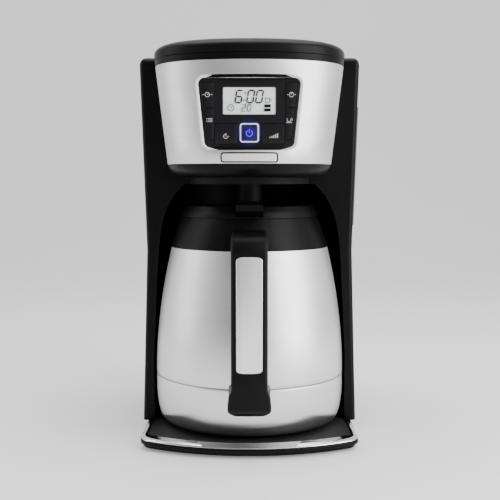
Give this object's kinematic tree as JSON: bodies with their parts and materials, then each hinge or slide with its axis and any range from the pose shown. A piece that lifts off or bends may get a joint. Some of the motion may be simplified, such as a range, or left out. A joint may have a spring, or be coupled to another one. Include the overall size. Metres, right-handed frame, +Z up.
{
  "type": "drip coffee maker",
  "caption": "Black drip coffee maker with a steel fascia and control panel, a hinged top lid, and a steel thermal carafe that slides out of an arched bay.",
  "frame": {"origin": "middle of the footprint, on the surface that the feet stand on", "axes": "+Z up, -Y towards the front (the handle and control panel), +X to the viewer's right"},
  "size_m": [0.1936, 0.273, 0.338],
  "materials": {
    "black_plastic": "fine satin moulding",
    "gloss_black": "gloss",
    "dark_plastic": "matte",
    "carafe_plastic": "fine satin moulding",
    "panel_black": "satin",
    "white_plastic": "matte",
    "window_plastic": "clear gloss",
    "foot_rubber": "matte",
    "mat_rubber": "matte",
    "hose_rubber": "matte silicone",
    "seal_rubber": "matte silicone",
    "cable_jacket": "matte",
    "trim_steel": "polished",
    "fascia_steel": "brushed, horizontal",
    "carafe_steel": "brushed round the axis",
    "insert_steel": "satin",
    "screw_steel": "zinc plated",
    "boiler_aluminium": "cast",
    "circuit_board": "solder mask",
    "lcd_glass": "clear",
    "lcd_back": "liquid crystal display",
    "ring_light": "lit",
    "power_blue": "backlit"
  },
  "bodies": {
    "machine": {"base_shell": "black_plastic", "base_trim": "trim_steel", "base_plate": "black_plastic", "rubber_feet": "foot_rubber", "base_screws": "screw_steel", "carafe_rest": "mat_rubber", "tower_shell": "black_plastic", "rear_cover": "black_plastic", "rear_cover_screws": "screw_steel", "tower_top_rim": "black_plastic", "water_tank": "white_plastic", "water_window": "window_plastic", "check_valve": "white_plastic", "cold_hose": "hose_rubber", "boiler": "boiler_aluminium", "heating_element": "screw_steel", "thermostat": "white_plastic", "riser_tube": "hose_rubber", "riser_nozzle": "white_plastic", "power_board": "circuit_board", "control_cable": "cable_jacket", "cord_gland": "black_plastic", "head_shell": "black_plastic", "fascia": "fascia_steel", "badge": "gloss_black", "basket_holder": "dark_plastic", "brew_basket": "dark_plastic", "drip_stop_spring": "screw_steel", "control_panel": "panel_black", "lcd_lens": "lcd_glass", "lcd_module": "lcd_back", "control_board": "circuit_board", "key_switches": "dark_plastic", "light_ring": "ring_light", "lid_hinge_pins": "screw_steel"},
    "drip_stop": {"drip_stop_valve": "dark_plastic"},
    "lid": {"top_lid": "black_plastic", "shower_head": "white_plastic"},
    "carafe": {"carafe_shell": "carafe_steel", "carafe_base_cup": "carafe_steel", "carafe_liner": "carafe_steel", "carafe_collar": "carafe_plastic", "carafe_handle": "carafe_plastic", "handle_insert": "insert_steel", "handle_screws": "screw_steel"},
    "carafe_cover": {"carafe_lid": "carafe_plastic", "lid_seal": "seal_rubber", "lever_pin": "screw_steel"},
    "lever": {"thumb_lever": "carafe_plastic"},
    "valve": {"pour_valve": "white_plastic"},
    "power_button": {"power_key": "power_blue"},
    "auto_button": {"auto_key": "panel_black"},
    "strong_button": {"strong_key": "panel_black"},
    "program_button": {"program_key": "panel_black"},
    "cup_button": {"cup_key": "panel_black"},
    "hour_button": {"hour_key": "panel_black"},
    "minute_button": {"minute_key": "panel_black"}
  },
  "joints": [
    {"name": "carafe_slide", "type": "slide", "parent": "machine", "child": "carafe", "axis": [0, -0.9972, 0.0748], "range_m": [0, 0.2]},
    {"name": "carafe_lid_twist", "type": "hinge", "parent": "carafe", "child": "carafe_cover", "pos_m": [0, -0.0085, 0.1919], "axis": [0, 0, 1], "range_deg": [0, 60]},
    {"name": "lever_press", "type": "hinge", "parent": "carafe_cover", "child": "lever", "pos_m": [0, -0.0545, 0.2004], "axis": [1, 0, 0], "range_deg": [0, 8], "stiffness_Nm_per_rad": 0.06, "springref_deg": -11.46},
    {"name": "pour_valve_lift", "type": "slide", "parent": "carafe_cover", "child": "valve", "axis": [0, 0, 1], "range_m": [0, 0.0028]},
    {"name": "top_lid_hinge", "type": "hinge", "parent": "machine", "child": "lid", "pos_m": [0, 0.1035, 0.329], "axis": [-1, 0, 0], "range_deg": [0, 95]},
    {"name": "drip_stop_slide", "type": "slide", "parent": "machine", "child": "drip_stop", "axis": [0, 0, 1], "range_m": [0, 0.003], "stiffness_N_per_m": 150, "springref_m": -0.006, "deforming": ["drip_stop_spring"]},
    {"name": "power_press", "type": "slide", "parent": "machine", "child": "power_button", "axis": [0, 1, 0], "range_m": [0, 0.0008], "stiffness_N_per_m": 900, "springref_m": -0.0006},
    {"name": "auto_press", "type": "slide", "parent": "machine", "child": "auto_button", "axis": [0, 1, 0], "range_m": [0, 0.0008], "stiffness_N_per_m": 900, "springref_m": -0.0006},
    {"name": "strong_press", "type": "slide", "parent": "machine", "child": "strong_button", "axis": [0, 1, 0], "range_m": [0, 0.0008], "stiffness_N_per_m": 900, "springref_m": -0.0006},
    {"name": "program_press", "type": "slide", "parent": "machine", "child": "program_button", "axis": [0, 1, 0], "range_m": [0, 0.0008], "stiffness_N_per_m": 900, "springref_m": -0.0006},
    {"name": "cup_press", "type": "slide", "parent": "machine", "child": "cup_button", "axis": [0, 1, 0], "range_m": [0, 0.0008], "stiffness_N_per_m": 900, "springref_m": -0.0006},
    {"name": "hour_press", "type": "slide", "parent": "machine", "child": "hour_button", "axis": [0, 1, 0], "range_m": [0, 0.0008], "stiffness_N_per_m": 900, "springref_m": -0.0006},
    {"name": "minute_press", "type": "slide", "parent": "machine", "child": "minute_button", "axis": [0, 1, 0], "range_m": [0, 0.0008], "stiffness_N_per_m": 900, "springref_m": -0.0006}
  ],
  "couplings": [
    {"joint": "pour_valve_lift", "follows": "lever_press", "m_per_rad": 0.018}
  ]
}
